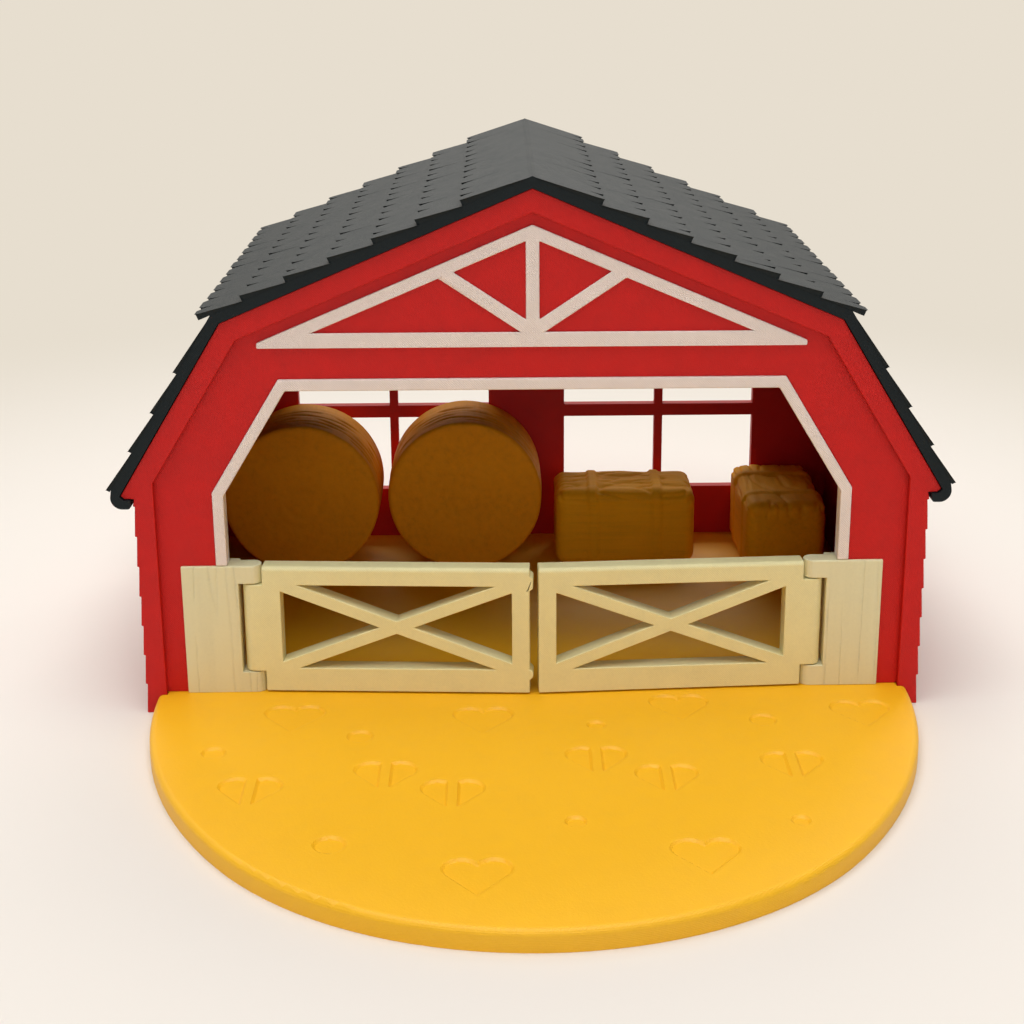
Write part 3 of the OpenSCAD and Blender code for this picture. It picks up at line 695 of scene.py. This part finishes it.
def moulded_base():
    """The slab without its flat top and the walls of its prints, closed by a new top with new prints."""
    work = bmesh.new()
    work.from_mesh(nodes["base"].data)
    bmesh.ops.remove_doubles(work, verts=work.verts, dist=SAME_POINT)
    low_print, top = (SLAB_T - PRINT_T - 0.01) * MM, SLAB_T * MM
    opened = [f for f in work.faces if min(v.co.z for v in f.verts) > low_print
              and (f.normal.z > LEVEL or abs(f.normal.z) < 0.01)]
    bmesh.ops.delete(work, geom=opened, context="FACES")
    work.verts.index_update()
    edges = [e for e in work.edges if e.is_boundary]
    rim = sorted({v for e in edges for v in e.verts}, key=lambda v: v.index)
    order = {v: i for i, v in enumerate(rim)}
    points = [Vector((v.co.x / MM, v.co.y / MM)) for v in rim]
    links = [(order[e.verts[0]], order[e.verts[1]]) for e in edges]
    depths = {}
    for point, depth in print_points():
        depths[len(points)] = depth
        points.append(point)
    flat, _, faces, origins, _, _ = delaunay_2d_cdt(points, links, [], INSIDE_TRIANGLES, 1e-6)
    fresh = []
    for spot, sources in zip(flat, origins):
        depth = max((depths.get(k, 0.0) for k in sources), default=0.0)
        fresh.append(work.verts.new((spot.x * MM, spot.y * MM, top - depth * MM)))
    for face in faces:
        work.faces.new([fresh[k] for k in face])
    bmesh.ops.remove_doubles(work, verts=work.verts, dist=SAME_POINT)
    work.verts.index_update()
    verts = [v.co.copy() for v in work.verts]
    solid = [[v.index for v in f.verts] for f in work.faces]
    work.free()
    return verts, solid


yard = new_piece("base_moulded", *moulded_base(), "barn", "straw_yellow", "base", sharp=40)
for polygon in yard.data.polygons:
    polygon.use_smooth = polygon.normal.z < 0.99999


# Soft edges, as printed plastic has them

EDGE_WIDTHS = {
    "gate_left": 0.55, "gate_right": 0.55, "hinge_plate_left": 0.4, "hinge_plate_right": 0.4,
    "front_frame": 0.35, "front_panel": 0.25, "door_trim": 0.35, "gable_truss": 0.3,
    "back_wall": 0.35, "side_wall_left": 0.25, "side_wall_right": 0.25}


def soften(name, width):
    """Small round edges by modifiers, where faces meet at more than 32 degrees."""
    node = nodes[name]
    weld = node.modifiers.new("weld", "WELD")
    weld.merge_threshold = SAME_POINT
    flat = node.modifiers.new("flat", "DECIMATE")
    flat.decimate_type = "DISSOLVE"
    flat.angle_limit = math.radians(0.5)
    bevel = node.modifiers.new("bevel", "BEVEL")
    bevel.width = width * MM
    bevel.segments = 2
    bevel.limit_method = "ANGLE"
    bevel.angle_limit = math.radians(32)
    bevel.harden_normals = False
    bevel.use_clamp_overlap = True
    node.data.polygons.foreach_set("use_smooth", [True] * len(node.data.polygons))
    normals = node.modifiers.new("normals", "WEIGHTED_NORMAL")
    normals.keep_sharp = True


for name, width in EDGE_WIDTHS.items():
    soften(name, width)


# Floor, backdrop and light, in metres

PAPER, FAR_TONE = "EAE3DA", "E7DECF"
LIT_UP_TO, EVEN_FROM = 0.16, 0.5        # distances from the middle of the toy
FLOOR_FRONT, BEND_START, BEND_R, WALL_TOP, HALF_WIDE = -3.0, 1.6, 0.8, 3.6, 4.0


def stage_material():
    """Pale paper: lit round the toy, and of one even tone farther off, as in a studio."""
    n = Nodes("stage_paper")
    n.bsdf.inputs["Base Color"].default_value = (*linear(PAPER), 1)
    n.bsdf.inputs["Roughness"].default_value = 0.9
    n.bsdf.inputs["Specular IOR Level"].default_value = 0.1
    far = n.add("ShaderNodeVectorMath", operation="LENGTH")
    n.link(n.coord.outputs["Object"], far.inputs[0])
    reach = n.add("ShaderNodeMapRange", interpolation_type="SMOOTHSTEP")
    reach.inputs["From Min"].default_value = LIT_UP_TO
    reach.inputs["From Max"].default_value = EVEN_FROM
    n.link(far.outputs["Value"], reach.inputs["Value"])
    path = n.add("ShaderNodeLightPath")
    seen = n.math("MAXIMUM", path.outputs["Is Camera Ray"],
                  n.math("MAXIMUM", path.outputs["Is Glossy Ray"], path.outputs["Is Transmission Ray"]))
    glow = n.add("ShaderNodeEmission")
    glow.inputs["Color"].default_value = (*linear(FAR_TONE), 1)
    both = n.add("ShaderNodeMixShader")
    n.link(n.math("MULTIPLY", reach.outputs["Result"], seen), both.inputs["Fac"])
    n.link(n.bsdf.outputs[0], both.inputs[1])
    n.link(glow.outputs[0], both.inputs[2])
    n.link(both.outputs[0], n.out.inputs[0])
    return n.mat


def backdrop():
    """One sheet: a floor that turns up into a wall far behind the barn."""
    bend = [math.radians(d) for d in range(6, 91, 6)]
    profile = [(FLOOR_FRONT, 0.0), (BEND_START, 0.0)]
    profile += [(BEND_START + BEND_R * math.sin(a), BEND_R - BEND_R * math.cos(a)) for a in bend]
    profile += [(BEND_START + BEND_R, WALL_TOP)]
    work = bmesh.new()
    left, right = [[work.verts.new((x, y, z)) for y, z in profile] for x in (-HALF_WIDE, HALF_WIDE)]
    for i in range(len(profile) - 1):
        work.faces.new((left[i], right[i], right[i + 1], left[i + 1]))
    mesh = bpy.data.meshes.new("stage_sheet")
    work.to_mesh(mesh)
    work.free()
    mesh.polygons.foreach_set("use_smooth", [True] * len(mesh.polygons))
    mesh.materials.append(stage_material())
    show("stage_sheet", mesh)


backdrop()


def area_light(name, spot, target, size, power):
    """A rectangular lamp at the spot, turned towards the target; power in watts."""
    data = bpy.data.lights.new(name, "AREA")
    data.shape = "RECTANGLE"
    data.size, data.size_y = size
    data.energy = power
    lamp = show(name, data)
    lamp.location = spot
    lamp.visible_camera = False
    lamp.rotation_euler = (Vector(target) - Vector(spot)).to_track_quat("-Z", "Y").to_euler()


area_light("light_top", (-0.1, -0.2, 1.35), (0, 0, 0.05), size=(1.4, 1.2), power=17.0)
area_light("light_front", (0.2, -1.7, 0.45), (0, 0, 0.06), size=(1.4, 0.8), power=3.0)
area_light("light_back", (0.1, 1.05, 1.0), (0, 0, 0.03), size=(1.4, 0.6), power=8.5)


def world_light():
    """Even light from all round; the camera sees the backdrop's own tone beyond the sheet."""
    world = bpy.data.worlds.new("world")
    world.use_nodes = True
    tree = world.node_tree
    tree.nodes.clear()
    light, seen = (tree.nodes.new("ShaderNodeBackground") for _ in range(2))
    light.inputs["Color"].default_value = (0.92, 0.92, 0.92, 1)
    light.inputs["Strength"].default_value = 0.28
    seen.inputs["Color"].default_value = (*linear(FAR_TONE), 1)
    path = tree.nodes.new("ShaderNodeLightPath")
    either = tree.nodes.new("ShaderNodeMath")
    either.operation = "MAXIMUM"
    tree.links.new(path.outputs["Is Camera Ray"], either.inputs[0])
    tree.links.new(path.outputs["Is Transmission Ray"], either.inputs[1])
    mix = tree.nodes.new("ShaderNodeMixShader")
    tree.links.new(either.outputs[0], mix.inputs["Fac"])
    tree.links.new(light.outputs[0], mix.inputs[1])
    tree.links.new(seen.outputs[0], mix.inputs[2])
    out = tree.nodes.new("ShaderNodeOutputWorld")
    tree.links.new(mix.outputs[0], out.inputs["Surface"])
    bpy.context.scene.world = world


world_light()
bpy.context.scene.view_settings.view_transform = "Standard"
